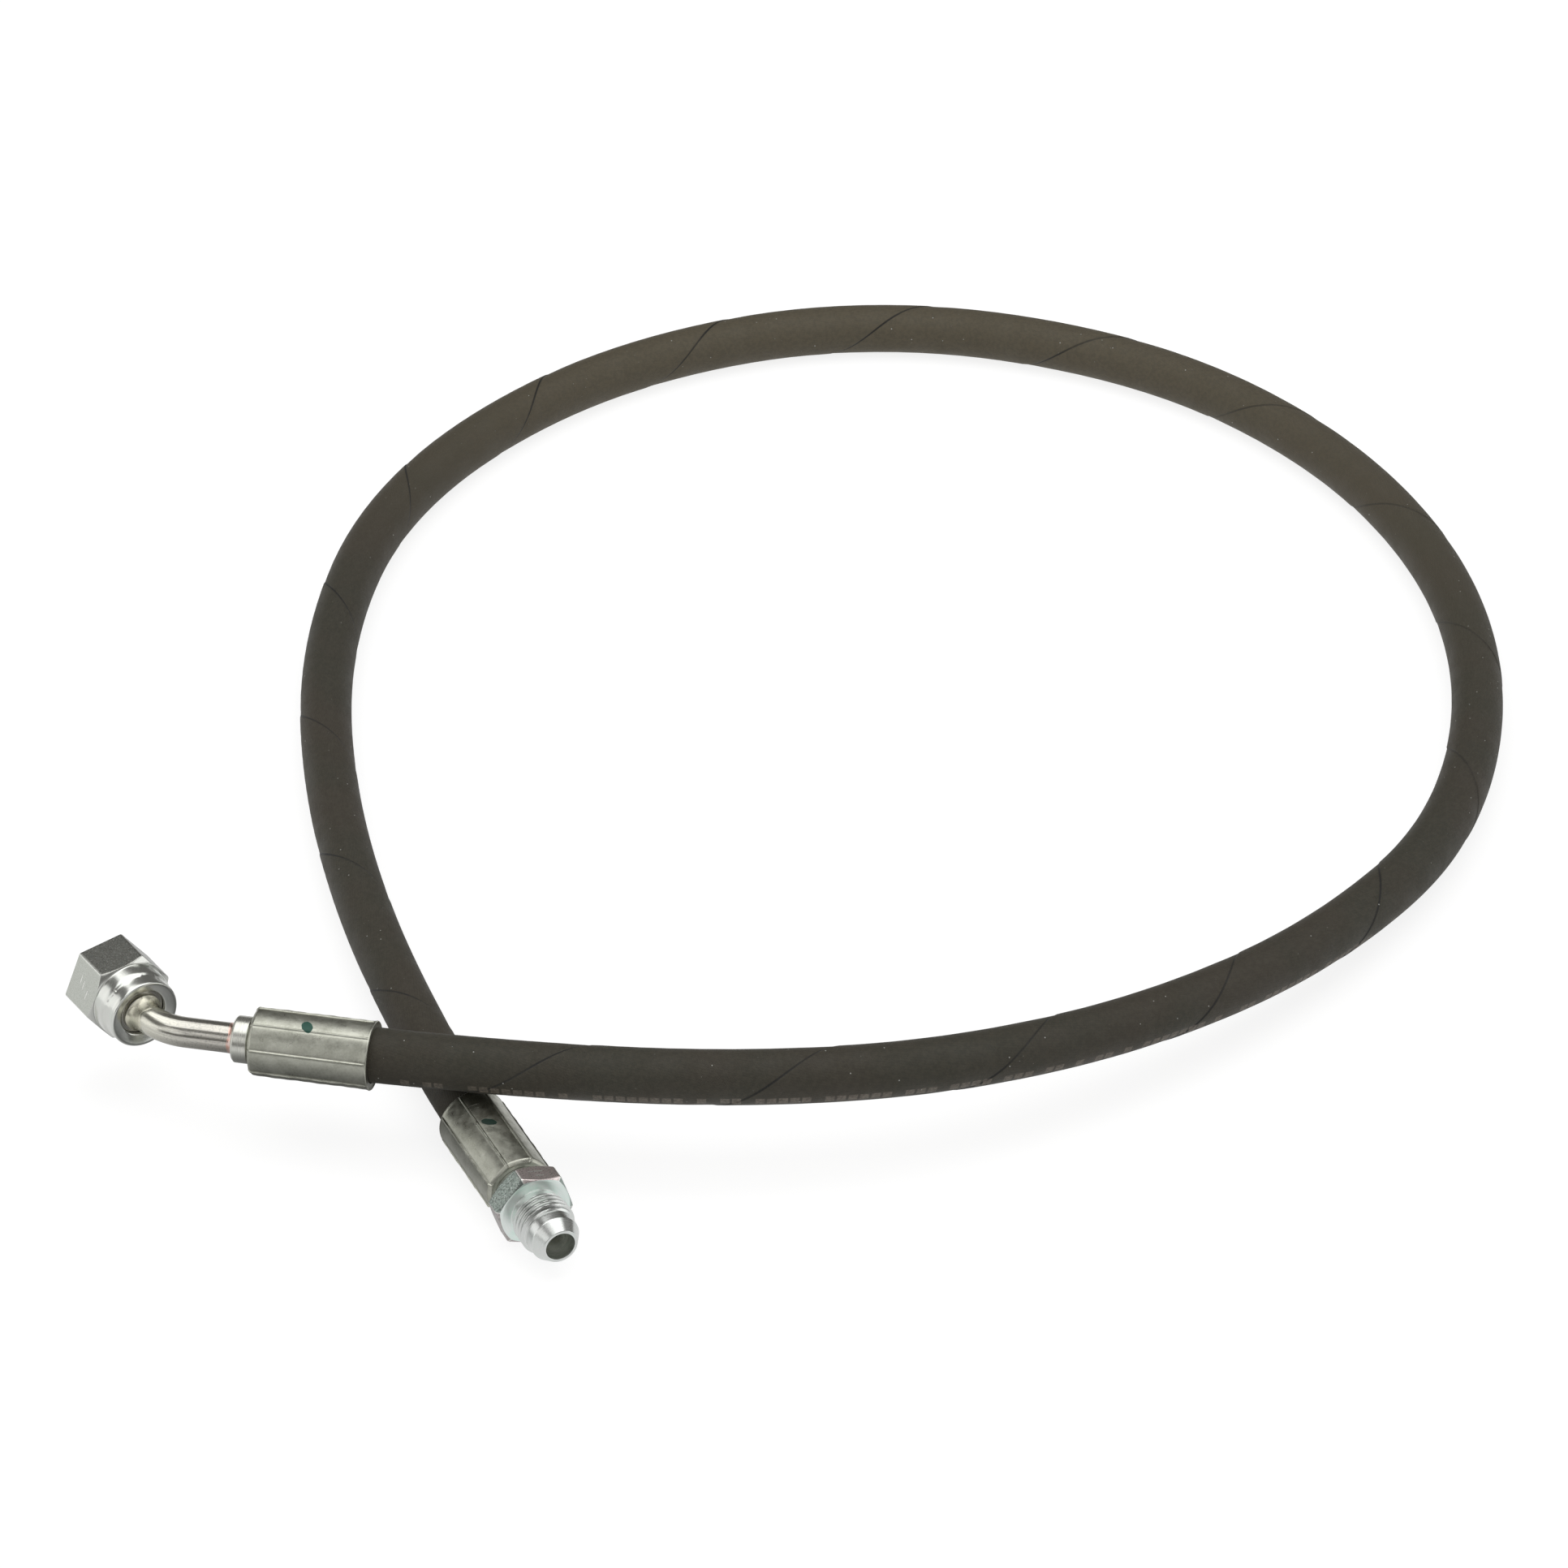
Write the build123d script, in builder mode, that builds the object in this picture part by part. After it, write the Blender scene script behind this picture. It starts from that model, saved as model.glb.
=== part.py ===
from build123d import *
from math import cos, pi, radians, sin, tan
import os

# Hydraulic hose assembly: a two-wire hose lying in one open loop, a straight male
# fitting on one end and a 45 degree elbow with a swivel nut on the other, whose ends
# cross. Millimetres, +Z up, Z = 0 is the surface that it lies on.

# ---- hose: outer diameter of each layer, from the bore outwards ----
HOSE_BORE = 6.4
INNER_TUBE_DIAMETER = 8.2
INNER_BRAID_DIAMETER = 9.0
INTERLAYER_DIAMETER = 9.6
OUTER_BRAID_DIAMETER = 10.6
HOSE_DIAMETER = 13.4
HOSE_IN_FERRULE = 26.0          # how far the hose reaches into a ferrule

# ---- where the ends lie: ferrule mouth, and heading of the fitting that leaves it ----
MALE_MOUTH = (35.9, 3.6, 9.8)
MALE_HEADING = -65.0
ELBOW_MOUTH = (12.9, 8.8, 25.0)
ELBOW_HEADING = 168.5

# ---- route of the hose between its two ends, chosen point by point ----
FLOOR_HEIGHT = HOSE_DIAMETER / 2
MALE_LEAD_OUT = 27.0            # straight lead out of the male ferrule's mouth
ELBOW_LEAD_OUT = 32.0           # straight lead out of the elbow ferrule's mouth
LOOP_POINTS = [
    (-3, 120, 7.4),
    (-12, 211, FLOOR_HEIGHT),
    (5, 290, FLOOR_HEIGHT),
    (60, 353, FLOOR_HEIGHT),
    (136, 379, FLOOR_HEIGHT),
    (217, 355, FLOOR_HEIGHT),
    (272, 295, FLOOR_HEIGHT),
    (296, 215, 7.0),
    (284, 129, 8.5),
    (243, 69, 12.0),
    (187, 24, 18.5),
    (123, -1, 25.0),
]
BEND_SHARE = 0.45               # share of the shorter run that a bend takes up

# ---- crimped ferrule, the same on both ends ----
FERRULE_LENGTH = 29.5
FERRULE_DIAMETER = 16.5
FERRULE_LIP_DIAMETER = 17.1
FERRULE_LIP_LENGTH = 1.6
FERRULE_WALL_END = 2.9          # thickness of the end wall that grips the stem
FERRULE_END_CHAMFER = 0.8
CRIMP_JAWS = 8
CRIMP_RIDGE_WIDTH = 0.9
CRIMP_RIDGE_HEIGHT = 0.25
CRIMP_TEETH = 4
CRIMP_TOOTH_DEPTH = 0.4
CRIMP_TOOTH_WIDTH = 1.6
MALE_RIDGE_ANGLE = 21.5         # first ridge, turned from straight up
ELBOW_RIDGE_ANGLE = -24.7

# ---- hose nipple, the same on both stems ----
NIPPLE_DIAMETER = 6.6
NIPPLE_BORE = 4.2
NIPPLE_START = 2.5              # from the ferrule's mouth
BARBS = 5
BARB_PITCH = 3.8
BARB_HEIGHT = 0.25
NECK_DIAMETER = 9.0             # where the ferrule's end wall grips
NECK_START = 26.4

# ---- male end: distances from the ferrule's mouth ----
MALE_NECK_DIAMETER = 12.8
MALE_HEX_START = 32.9
MALE_HEX_END = 38.6
MALE_HEX_FLATS = 17.7
MALE_HEX_ANGLE = 17.0           # a corner of the hexagon, turned from straight up
HEX_CHAMFER_ANGLE = 30.0
RELIEF_DIAMETER = 12.0
RELIEF_LENGTH = 2.2
THREAD_DIAMETER = 14.0
THREAD_LENGTH = 6.1
LAND_DIAMETER = 12.2
NOSE_END = 53.4
NOSE_DIAMETER = 8.7
NOSE_ANGLE = 30.0               # half angle of the cone
NOSE_BORE = 7.3
NOSE_BORE_DEPTH = 9.0

# ---- elbow end: distances from the ferrule's mouth ----
COLLAR_START = 30.3
COLLAR_END = 34.3
COLLAR_DIAMETER = 11.4
COLLAR_CHAMFER = 0.6
SOCKET_DEPTH = 2.6
TUBE_DIAMETER = 7.4
TUBE_BORE = 4.6
BRAZE_LENGTH = 1.6
BRAZE_WIDTH = 1.3
ELBOW_BEND_START = 46.4
ELBOW_BEND_RADIUS = 16.5
ELBOW_BEND = 45.0

# ---- swivel head and nut: distances forward from the nut's back face ----
TUBE_IN_HEAD = 4.0
HUB_START = 0.7
HUB_DIAMETER = 9.8
FLANGE_START = 2.0
FLANGE_END = 5.0
FLANGE_DIAMETER = 13.6
HEAD_DIAMETER = 12.2
HEAD_END = 11.0
SEAT_MOUTH_DIAMETER = 11.2
NUT_LENGTH = 19.2
NUT_HEX_START = 8.3
NUT_FLATS = 20.0
NUT_HEX_ANGLE = -36.0
NUT_SKIRT_DIAMETER = 18.2
NUT_CRIMP_DIAMETER = 17.7
NUT_CRIMP_LENGTH = 3.8
NUT_LIP_BORE = 11.9
NUT_LIP_LENGTH = 1.6
NUT_CAVITY_DIAMETER = 14.2
NUT_CAVITY_END = 5.4
NUT_RELIEF_DIAMETER = 12.9
NUT_THREAD_START = 11.4
NUT_THREAD_MINOR = 12.4
NUT_MOUTH_DIAMETER = 14.4
NUT_MOUTH_CHAMFER = 1.0


def along(point, heading, distance):
    """A point at a distance from another, level, in a heading given in degrees."""
    x, y, z = point
    return (x + distance * cos(radians(heading)), y + distance * sin(radians(heading)), z)


def fitting_plane(point, heading, distance=0.0):
    """A plane square to a fitting: its Z runs outwards along the fitting, its X points up."""
    outwards = (cos(radians(heading)), sin(radians(heading)), 0)
    return Plane(origin=along(point, heading, distance), x_dir=(0, 0, 1), z_dir=outwards)


def section_plane(plane):
    """The plane of a turned piece's profile: X along the fitting, Y the radius."""
    return Plane(origin=plane.origin, x_dir=plane.z_dir, z_dir=plane.y_dir)


def turned(plane, outline, mode=Mode.ADD):
    """Revolve a closed (distance, diameter) outline round the fitting's axis."""
    with BuildSketch(section_plane(plane)) as profile:
        with BuildLine():
            Polyline(*[(distance, diameter / 2) for distance, diameter in outline], close=True)
        make_face()
    revolve(profile.sketch, axis=Axis(plane.origin, plane.z_dir), mode=mode)


def finish(piece, label):
    """Name a piece and write it."""
    piece.part.label = label
    export_step(piece.part, "parts/" + label + ".step")


def hose_route():
    """Every point of the hose's route, from its end in the male ferrule to the other."""
    return [
        along(MALE_MOUTH, MALE_HEADING, HOSE_IN_FERRULE),
        along(MALE_MOUTH, MALE_HEADING, -MALE_LEAD_OUT),
        *LOOP_POINTS,
        along(ELBOW_MOUTH, ELBOW_HEADING, -ELBOW_LEAD_OUT),
        along(ELBOW_MOUTH, ELBOW_HEADING, HOSE_IN_FERRULE),
    ]


def bend_radii(points):
    """The radius at each inner point: the widest bend that its two runs allow."""
    radii = []
    for before, corner, after in zip(points, points[1:], points[2:]):
        run_in = Vector(*corner) - Vector(*before)
        run_out = Vector(*after) - Vector(*corner)
        half_turn = radians(run_in.get_angle(run_out)) / 2
        radii.append(BEND_SHARE * min(run_in.length, run_out.length) / tan(half_turn))
    return radii


def build_hose_layer(label, outer, inner):
    """One layer of the hose: a ring swept along the whole route."""
    points = hose_route()
    with BuildPart() as layer:
        with BuildLine():
            path = FilletPolyline(*points, radius=bend_radii(points))
        start = fitting_plane(points[0], MALE_HEADING + 180)
        with BuildSketch(start):
            Circle(outer / 2)
            Circle(inner / 2, mode=Mode.SUBTRACT)
        sweep()
    section = pi * (outer ** 2 - inner ** 2) / 4
    length = path.length
    print(f"{label}: volume {layer.part.volume:.0f}, section times length {section * length:.0f}")
    finish(layer, label)
    return length


def build_ferrule(label, mouth, heading, ridge_angle):
    """A crimped ferrule: a cup with flats left by the crimping jaws and teeth inside."""
    plane = fitting_plane(mouth, heading)
    cup_floor = FERRULE_LENGTH - FERRULE_WALL_END
    with BuildPart() as ferrule:
        turned(plane, [
            (0, HOSE_DIAMETER),
            (0, FERRULE_LIP_DIAMETER),
            (FERRULE_LIP_LENGTH, FERRULE_DIAMETER),
            (FERRULE_LENGTH - FERRULE_END_CHAMFER, FERRULE_DIAMETER),
            (FERRULE_LENGTH, FERRULE_DIAMETER - 2 * FERRULE_END_CHAMFER),
            (FERRULE_LENGTH, NECK_DIAMETER),
            (cup_floor, NECK_DIAMETER),
            (cup_floor, HOSE_DIAMETER),
        ])
        ridge_length = FERRULE_LENGTH - FERRULE_END_CHAMFER - FERRULE_LIP_LENGTH
        ridge_depth = 2 * CRIMP_RIDGE_HEIGHT
        with BuildSketch(fitting_plane(mouth, heading, FERRULE_LIP_LENGTH)):
            with PolarLocations(FERRULE_DIAMETER / 2, CRIMP_JAWS, start_angle=ridge_angle):
                Rectangle(ridge_depth, CRIMP_RIDGE_WIDTH)
        extrude(amount=ridge_length)
        for tooth in range(CRIMP_TEETH):
            start = (tooth + 1) * cup_floor / (CRIMP_TEETH + 1)
            turned(plane, [
                (start, HOSE_DIAMETER),
                (start + CRIMP_TOOTH_WIDTH / 2, HOSE_DIAMETER - 2 * CRIMP_TOOTH_DEPTH),
                (start + CRIMP_TOOTH_WIDTH, HOSE_DIAMETER),
            ])
    finish(ferrule, label)


def add_nipple(plane):
    """The barbed tail of a stem, up to the neck that the ferrule grips."""
    barb_peak = NIPPLE_DIAMETER + 2 * BARB_HEIGHT
    outline = [(NIPPLE_START, NIPPLE_BORE), (NIPPLE_START, NIPPLE_DIAMETER - 1)]
    for barb in range(BARBS):
        foot = NIPPLE_START + 1 + barb * BARB_PITCH
        outline += [(foot, NIPPLE_DIAMETER), (foot + 2, barb_peak), (foot + 2.2, NIPPLE_DIAMETER)]
    outline += [(NECK_START, NIPPLE_DIAMETER), (NECK_START, NIPPLE_BORE)]
    turned(plane, outline)


def chamfered_hex(plane, start, end, flats, corner_angle):
    """A hexagon along a fitting, its corners turned back at both faces."""
    hex_plane = plane.offset(start)
    corner_radius = flats / 2 / cos(radians(30))
    length = end - start
    setback = (corner_radius - flats / 2) * tan(radians(HEX_CHAMFER_ANGLE))
    with BuildPart() as hexagon:
        with BuildSketch(hex_plane):
            RegularPolygon(corner_radius, 6, rotation=corner_angle)
        extrude(amount=length)
        turned(hex_plane, [
            (0, 0),
            (0, flats),
            (setback, 2 * corner_radius),
            (length - setback, 2 * corner_radius),
            (length, flats),
            (length, 0),
        ], mode=Mode.INTERSECT)
    return hexagon.part


def build_male_stem():
    """Straight male fitting turned from one bar: nipple, neck, hexagon, thread and nose."""
    plane = fitting_plane(MALE_MOUTH, MALE_HEADING)
    thread_start = MALE_HEX_END + RELIEF_LENGTH
    thread_end = thread_start + THREAD_LENGTH
    thread_chamfer = (THREAD_DIAMETER - LAND_DIAMETER) / 2
    cone_length = (LAND_DIAMETER - NOSE_DIAMETER) / 2 / tan(radians(NOSE_ANGLE))
    bore_step = (NOSE_BORE - NIPPLE_BORE) / 2
    hexagon = chamfered_hex(plane, MALE_HEX_START, MALE_HEX_END, MALE_HEX_FLATS, MALE_HEX_ANGLE)
    with BuildPart() as stem:
        add_nipple(plane)
        turned(plane, [
            (NECK_START, NIPPLE_BORE),
            (NECK_START, NECK_DIAMETER),
            (FERRULE_LENGTH, NECK_DIAMETER),
            (FERRULE_LENGTH, MALE_NECK_DIAMETER),
            (MALE_HEX_END, MALE_NECK_DIAMETER),
            (MALE_HEX_END, RELIEF_DIAMETER),
            (thread_start, RELIEF_DIAMETER),
            (thread_start, THREAD_DIAMETER),
            (thread_end, THREAD_DIAMETER),
            (thread_end + thread_chamfer, LAND_DIAMETER),
            (NOSE_END - cone_length, LAND_DIAMETER),
            (NOSE_END, NOSE_DIAMETER),
            (NOSE_END, NIPPLE_BORE),
        ])
        add(hexagon)
        turned(plane, [
            (NECK_START, 0),
            (NECK_START, NIPPLE_BORE),
            (NOSE_END - NOSE_BORE_DEPTH - bore_step, NIPPLE_BORE),
            (NOSE_END - NOSE_BORE_DEPTH, NOSE_BORE),
            (NOSE_END, NOSE_BORE),
            (NOSE_END, 0),
        ], mode=Mode.SUBTRACT)
    finish(stem, "male_stem")


def build_elbow_stem():
    """Stem of the elbow end: nipple, neck and the turned collar that holds the tube."""
    plane = fitting_plane(ELBOW_MOUTH, ELBOW_HEADING)
    with BuildPart() as stem:
        add_nipple(plane)
        turned(plane, [
            (NECK_START, NIPPLE_BORE),
            (NECK_START, NECK_DIAMETER),
            (COLLAR_START, NECK_DIAMETER),
            (COLLAR_START, COLLAR_DIAMETER),
            (COLLAR_END - COLLAR_CHAMFER, COLLAR_DIAMETER),
            (COLLAR_END, COLLAR_DIAMETER - 2 * COLLAR_CHAMFER),
            (COLLAR_END, TUBE_DIAMETER),
            (COLLAR_END - SOCKET_DEPTH, TUBE_DIAMETER),
            (COLLAR_END - SOCKET_DEPTH, NIPPLE_BORE),
        ])
    finish(stem, "elbow_stem")


def elbow_exit():
    """Where the elbow's bend ends, at the nut's back face, and the heading there."""
    heading = ELBOW_HEADING - ELBOW_BEND
    bend_start = along(ELBOW_MOUTH, ELBOW_HEADING, ELBOW_BEND_START)
    reach = ELBOW_BEND_RADIUS * tan(radians(ELBOW_BEND / 2))
    corner = along(bend_start, ELBOW_HEADING, reach)
    return along(corner, heading, reach), heading


def build_elbow_tube():
    """The bent steel tube, from the collar's socket to the socket of the swivel head."""
    exit_point, heading = elbow_exit()
    tube_start = along(ELBOW_MOUTH, ELBOW_HEADING, COLLAR_END - SOCKET_DEPTH)
    reach = ELBOW_BEND_RADIUS * tan(radians(ELBOW_BEND / 2))
    corner = along(exit_point, heading, -reach)
    tube_end = along(exit_point, heading, TUBE_IN_HEAD)
    with BuildPart() as tube:
        with BuildLine():
            FilletPolyline(tube_start, corner, tube_end, radius=ELBOW_BEND_RADIUS)
        with BuildSketch(fitting_plane(tube_start, ELBOW_HEADING)):
            Circle(TUBE_DIAMETER / 2)
            Circle(TUBE_BORE / 2, mode=Mode.SUBTRACT)
        sweep()
    finish(tube, "elbow_tube")


def build_braze_ring(label, plane, outward):
    """A fillet of braze metal between a tube and the shoulder behind it."""
    with BuildPart() as ring:
        turned(plane, [
            (0, TUBE_DIAMETER),
            (0, TUBE_DIAMETER + 2 * BRAZE_WIDTH),
            (outward * BRAZE_LENGTH * 0.3, TUBE_DIAMETER + BRAZE_WIDTH),
            (outward * BRAZE_LENGTH, TUBE_DIAMETER + 0.3),
            (outward * BRAZE_LENGTH, TUBE_DIAMETER),
        ])
    finish(ring, label)


def build_swivel_head():
    """The head brazed on the tube: its flange pulls the nut's load, its cone is the seat."""
    exit_point, heading = elbow_exit()
    plane = fitting_plane(exit_point, heading)
    seat_depth = (SEAT_MOUTH_DIAMETER - TUBE_BORE) / 2 / tan(radians(NOSE_ANGLE))
    with BuildPart() as head:
        turned(plane, [
            (HUB_START, TUBE_DIAMETER),
            (HUB_START, HUB_DIAMETER),
            (FLANGE_START, HUB_DIAMETER),
            (FLANGE_START, FLANGE_DIAMETER),
            (FLANGE_END, FLANGE_DIAMETER),
            (FLANGE_END, HEAD_DIAMETER),
            (HEAD_END, HEAD_DIAMETER),
            (HEAD_END, SEAT_MOUTH_DIAMETER),
            (HEAD_END - seat_depth, TUBE_BORE),
            (TUBE_IN_HEAD, TUBE_BORE),
            (TUBE_IN_HEAD, TUBE_DIAMETER),
        ])
    finish(head, "swivel_head")


def build_swivel_nut():
    """The nut: hexagon, round skirt crimped behind the head's flange, and thread."""
    exit_point, heading = elbow_exit()
    plane = fitting_plane(exit_point, heading)
    hexagon = chamfered_hex(plane, NUT_HEX_START, NUT_LENGTH, NUT_FLATS, NUT_HEX_ANGLE)
    with BuildPart() as nut:
        turned(plane, [
            (0, 0),
            (0, NUT_CRIMP_DIAMETER),
            (NUT_CRIMP_LENGTH, NUT_CRIMP_DIAMETER),
            (NUT_CRIMP_LENGTH, NUT_SKIRT_DIAMETER),
            (NUT_HEX_START, NUT_SKIRT_DIAMETER),
            (NUT_HEX_START, 0),
        ])
        add(hexagon)
        turned(plane, [
            (0, 0),
            (0, NUT_LIP_BORE),
            (NUT_LIP_LENGTH, NUT_LIP_BORE),
            (NUT_LIP_LENGTH, NUT_CAVITY_DIAMETER),
            (NUT_CAVITY_END, NUT_CAVITY_DIAMETER),
            (NUT_CAVITY_END, NUT_RELIEF_DIAMETER),
            (NUT_THREAD_START, NUT_RELIEF_DIAMETER),
            (NUT_THREAD_START, NUT_THREAD_MINOR),
            (NUT_LENGTH - NUT_MOUTH_CHAMFER, NUT_THREAD_MINOR),
            (NUT_LENGTH, NUT_MOUTH_DIAMETER),
            (NUT_LENGTH, 0),
        ], mode=Mode.SUBTRACT)
    finish(nut, "swivel_nut")


os.makedirs("parts", exist_ok=True)

layers = [
    ("hose_inner_tube", INNER_TUBE_DIAMETER, HOSE_BORE),
    ("hose_inner_wire_braid", INNER_BRAID_DIAMETER, INNER_TUBE_DIAMETER),
    ("hose_braid_interlayer", INTERLAYER_DIAMETER, INNER_BRAID_DIAMETER),
    ("hose_outer_wire_braid", OUTER_BRAID_DIAMETER, INTERLAYER_DIAMETER),
    ("hose_cover", HOSE_DIAMETER, OUTER_BRAID_DIAMETER),
]
for layer_label, outer_diameter, inner_diameter in layers:
    hose_length = build_hose_layer(layer_label, outer_diameter, inner_diameter)

build_ferrule("male_ferrule", MALE_MOUTH, MALE_HEADING, MALE_RIDGE_ANGLE)
build_ferrule("elbow_ferrule", ELBOW_MOUTH, ELBOW_HEADING, ELBOW_RIDGE_ANGLE)
build_male_stem()
build_elbow_stem()
build_elbow_tube()
build_braze_ring("stem_braze_ring", fitting_plane(ELBOW_MOUTH, ELBOW_HEADING, COLLAR_END), 1)
head_point, head_heading = elbow_exit()
build_braze_ring("head_braze_ring", fitting_plane(head_point, head_heading, HUB_START), -1)
build_swivel_head()
build_swivel_nut()

print("hose length", round(hose_length, 1))
print("bend radii", [round(radius) for radius in bend_radii(hose_route())])
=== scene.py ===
import math

import bpy
import numpy as np
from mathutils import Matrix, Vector


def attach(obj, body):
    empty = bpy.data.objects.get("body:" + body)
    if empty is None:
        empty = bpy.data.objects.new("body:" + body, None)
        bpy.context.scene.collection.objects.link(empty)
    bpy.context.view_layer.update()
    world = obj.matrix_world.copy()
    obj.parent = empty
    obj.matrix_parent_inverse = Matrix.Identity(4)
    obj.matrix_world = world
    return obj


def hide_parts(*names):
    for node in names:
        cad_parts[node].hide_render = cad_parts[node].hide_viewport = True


# A hydraulic hose assembly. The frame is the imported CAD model; every visible piece here
# is a detailed mesh that stands for one of its nodes. Metres, in the CAD's own frame.

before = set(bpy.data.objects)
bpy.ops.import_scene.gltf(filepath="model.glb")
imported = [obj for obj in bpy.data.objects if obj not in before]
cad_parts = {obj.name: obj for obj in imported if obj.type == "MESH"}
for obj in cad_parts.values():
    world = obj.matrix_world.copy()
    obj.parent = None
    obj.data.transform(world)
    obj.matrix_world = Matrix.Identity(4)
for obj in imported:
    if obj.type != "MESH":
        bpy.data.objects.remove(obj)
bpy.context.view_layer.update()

MM = 0.001
UV_NAME = "detail"              # u: millimetres along a piece's outline, v: turns round it

# ---- places, as in the CAD ----
MALE_MOUTH = (0.0359, 0.0036, 0.0098)
MALE_HEADING = -65.0
ELBOW_MOUTH = (0.0129, 0.0088, 0.0250)
ELBOW_HEADING = 168.5
ELBOW_BEND_START = 46.4
ELBOW_BEND_RADIUS = 16.5
ELBOW_BEND = 45.0
NUT_BACK = ELBOW_BEND_START + ELBOW_BEND_RADIUS * math.radians(ELBOW_BEND)
TUBE_RADIUS = 3.7
TUBE_BORE_RADIUS = 2.3
NIPPLE_BORE_RADIUS = 2.1
MALE_CORNER = 17.0              # degrees round the fitting to a corner of its hexagon
NUT_CORNER = -36.0
MALE_HEXAGON = (32.9, 38.6, 17.7)               # mm: start, end, width across flats
NUT_HEXAGON = (7.7, 19.2, 20.0)
MALE_THREAD = (40.55, 47.1, 7.0, 0.95, 1.5)     # mm: start, end, crest radius, depth, pitch
NUT_THREAD = (18.45, 11.4, 6.2, 0.85, 1.5)
# the thread's grooves get painted shade between these radii
MALE_GROOVE_SHADE = (6.10, 6.70)                     # mm: radii between which grooves darken

# ---- the hose ----
HOSE_DIAMETER = 0.0134
HOSE_ROUTE = [
    (0.046888, -0.019964, 0.0098),
    (0.024489, 0.028070, 0.0098),
    (-0.003, 0.120, 0.0074),
    (-0.012, 0.211, 0.0067),
    (0.005, 0.290, 0.0067),
    (0.060, 0.353, 0.0067),
    (0.136, 0.379, 0.0067),
    (0.217, 0.355, 0.0067),
    (0.272, 0.295, 0.0067),
    (0.296, 0.215, 0.0070),
    (0.284, 0.129, 0.0085),
    (0.243, 0.069, 0.0120),
    (0.187, 0.024, 0.0185),
    (0.123, -0.001, 0.0250),
    (0.044258, 0.002420, 0.0250),
    (-0.012578, 0.013984, 0.0250),
]
WRAP_PITCH = 59.66              # mm of hose for one turn of the wrap's seam
WRAP_START = 0.227              # turns from straight up, where the seam starts
WRAP_DRIFT = 3.8                # mm by which the wrap runs ahead and falls behind
WRAP_DRIFT_PERIOD = 500.0
WRAP_DRIFT_PEAK = 328.0
WRAP_VALLEY = 0.13              # mm that the cover dips behind the seam
WRAP_SWELL = 0.05               # mm that it swells in front of the seam
WRAP_GROOVE = 0.07              # mm depth of the seam line
WRAP_SUNK = 0.02                # mm that the whole free cover lies inside its nominal size
SEAM_HALF = 0.009               # turns from the middle of the seam line to its edge
# radii of the surfaces between the hose's layers
COVER_INSIDE = 0.0053
OUTER_BRAID_INSIDE = 0.0048
INTERLAYER_INSIDE = 0.0045
INNER_BRAID_INSIDE = 0.0041
LINER_INSIDE = 0.0032

# ---- how the cover's look changes, in mm from the hose's end in the male ferrule ----
# where the paler tone painted on the far run rises and falls: painted light, for the brighter light
# that run gets
FAR_RUN_LIGHT_RISES, FAR_RUN_LIGHT_FALLS = (240.0, 420.0), (800.0, 540.0)
SEAM_FADES, SEAM_RETURNS = (480.0, 640.0), (780.0, 870.0)
FADED_SEAM = 0.40               # the seam's share of its darkness between those
DASH_PITCH = 2.7                # mm of hose for one worn mark of the pale row
DASH_ROW = (0.652, 0.714)       # turns from the seam to the row's two edges
DASH_EDGE = 0.006
DASHES_RISE, DASHES_END = (840.0, 880.0), (1128.0, 1125.0)

# ---- stage ----
FLOOR_HALF = 6.0
SHADED_FLOOR, OPEN_FLOOR = 0.12, 0.74       # light from the floor near the elbow, and beyond
SHADE_CENTRE = (-0.008, 0.006, 0.0)
SHADE_REACH = (0.012, 0.070)
CAMERA_PLACE = (0.1106, -1.3062, 1.0249)
CAMERA_TILT = 55.0
CAMERA_LENS = 158.9
CAMERA_SENSOR = 36.0


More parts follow.
